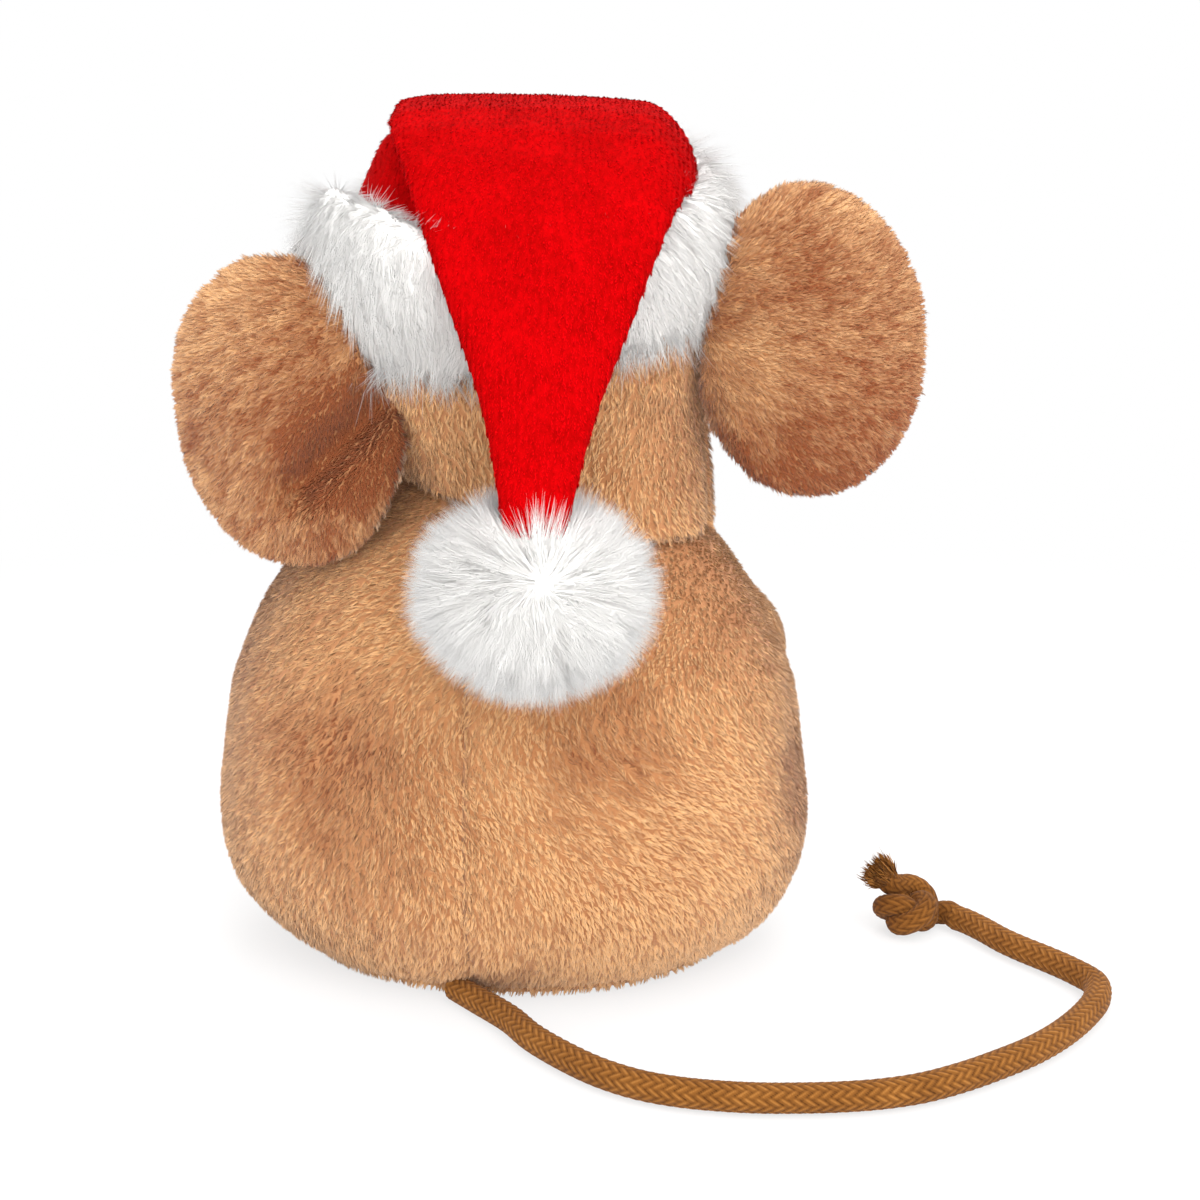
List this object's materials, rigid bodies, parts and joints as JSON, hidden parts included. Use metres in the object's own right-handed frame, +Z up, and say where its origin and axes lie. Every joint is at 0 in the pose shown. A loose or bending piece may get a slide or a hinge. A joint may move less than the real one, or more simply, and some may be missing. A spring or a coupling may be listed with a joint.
{
  "type": "plush toy mouse",
  "caption": "Sitting plush mouse with round padded ears, small arms and feet, a folded hat with fur band and hanging pompom, and a braided cord tail with a knot",
  "frame": {"origin": "on the floor, at the middle of the flat base", "axes": "+Z up, +Y the way the mouse faces, +X to its right; the picture looks along +Y at the back"},
  "size_m": [0.211, 0.1752, 0.1966],
  "materials": {
    "plush_tan": "short pile plush",
    "plush_pale": "short pile plush",
    "fur_white": "long pile fur",
    "knit_red": "brushed knit",
    "filling": "loose fibre",
    "cord_ochre": "braided cotton",
    "eye_black": "gloss",
    "nose_brown": "short pile plush",
    "squeaker_shell": "satin"
  },
  "bodies": {
    "mouse": {"body_base": "plush_tan", "body_back_left": "plush_tan", "body_back_right": "plush_tan", "body_belly": "plush_tan", "body_stuffing": "filling", "squeaker_bulb": "squeaker_shell", "squeaker_reed": "squeaker_shell", "head_back": "plush_tan", "head_left": "plush_tan", "head_right": "plush_tan", "head_stuffing": "filling", "eye_left": "eye_black", "eye_right": "eye_black", "nose": "nose_brown", "hat_band": "fur_white", "hat_crown": "knit_red", "tail_cord": "cord_ochre", "tail_knot": "cord_ochre"},
    "ear_left": {"ear_left_back": "plush_tan", "ear_left_lining": "plush_pale"},
    "ear_right": {"ear_right_back": "plush_tan", "ear_right_lining": "plush_pale"},
    "flap": {"hat_flap": "knit_red"},
    "pompom": {"hat_pompom": "fur_white"},
    "arm_left": {"arm_left": "plush_tan"},
    "arm_right": {"arm_right": "plush_tan"},
    "foot_left": {"foot_left": "plush_tan"},
    "foot_right": {"foot_right": "plush_tan"}
  },
  "joints": [
    {"name": "ear_left_bend", "type": "hinge", "parent": "mouse", "child": "ear_left", "pos_m": [-0.02213, -0.03695, 0.13138], "axis": [0.1032, 0.0164, -0.9945], "range_deg": [-30, 6], "stiffness_Nm_per_rad": 0.03},
    {"name": "ear_right_bend", "type": "hinge", "parent": "mouse", "child": "ear_right", "pos_m": [0.04598, -0.01705, 0.14099], "axis": [-0.1032, -0.0164, 0.9945], "range_deg": [-25, 30], "stiffness_Nm_per_rad": 0.03},
    {"name": "flap_lift", "type": "hinge", "parent": "mouse", "child": "flap", "pos_m": [0.01219, -0.00823, 0.19193], "axis": [-0.9871, -0.1563, 0.0349], "range_deg": [0, 100]},
    {"name": "pompom_swing", "type": "hinge", "parent": "flap", "child": "pompom", "pos_m": [0.01814, -0.06196, 0.11967], "axis": [-0.9871, -0.1563, 0.0349], "range_deg": [0, 45]},
    {"name": "arm_left_bend", "type": "hinge", "parent": "mouse", "child": "arm_left", "pos_m": [-0.0455, 0.02001, 0.08], "axis": [0.9511, 0.309, 0], "range_deg": [-15, 30], "stiffness_Nm_per_rad": 0.02},
    {"name": "arm_right_bend", "type": "hinge", "parent": "mouse", "child": "arm_right", "pos_m": [0.0455, 0.02001, 0.08], "axis": [0.9511, -0.309, 0], "range_deg": [-15, 30], "stiffness_Nm_per_rad": 0.02},
    {"name": "foot_left_bend", "type": "hinge", "parent": "mouse", "child": "foot_left", "pos_m": [-0.03, 0.042, 0.0094], "axis": [0.9781, 0.2079, 0], "range_deg": [0, 20], "stiffness_Nm_per_rad": 0.02},
    {"name": "foot_right_bend", "type": "hinge", "parent": "mouse", "child": "foot_right", "pos_m": [0.03, 0.042, 0.0094], "axis": [0.9781, -0.2079, 0], "range_deg": [0, 20], "stiffness_Nm_per_rad": 0.02}
  ]
}
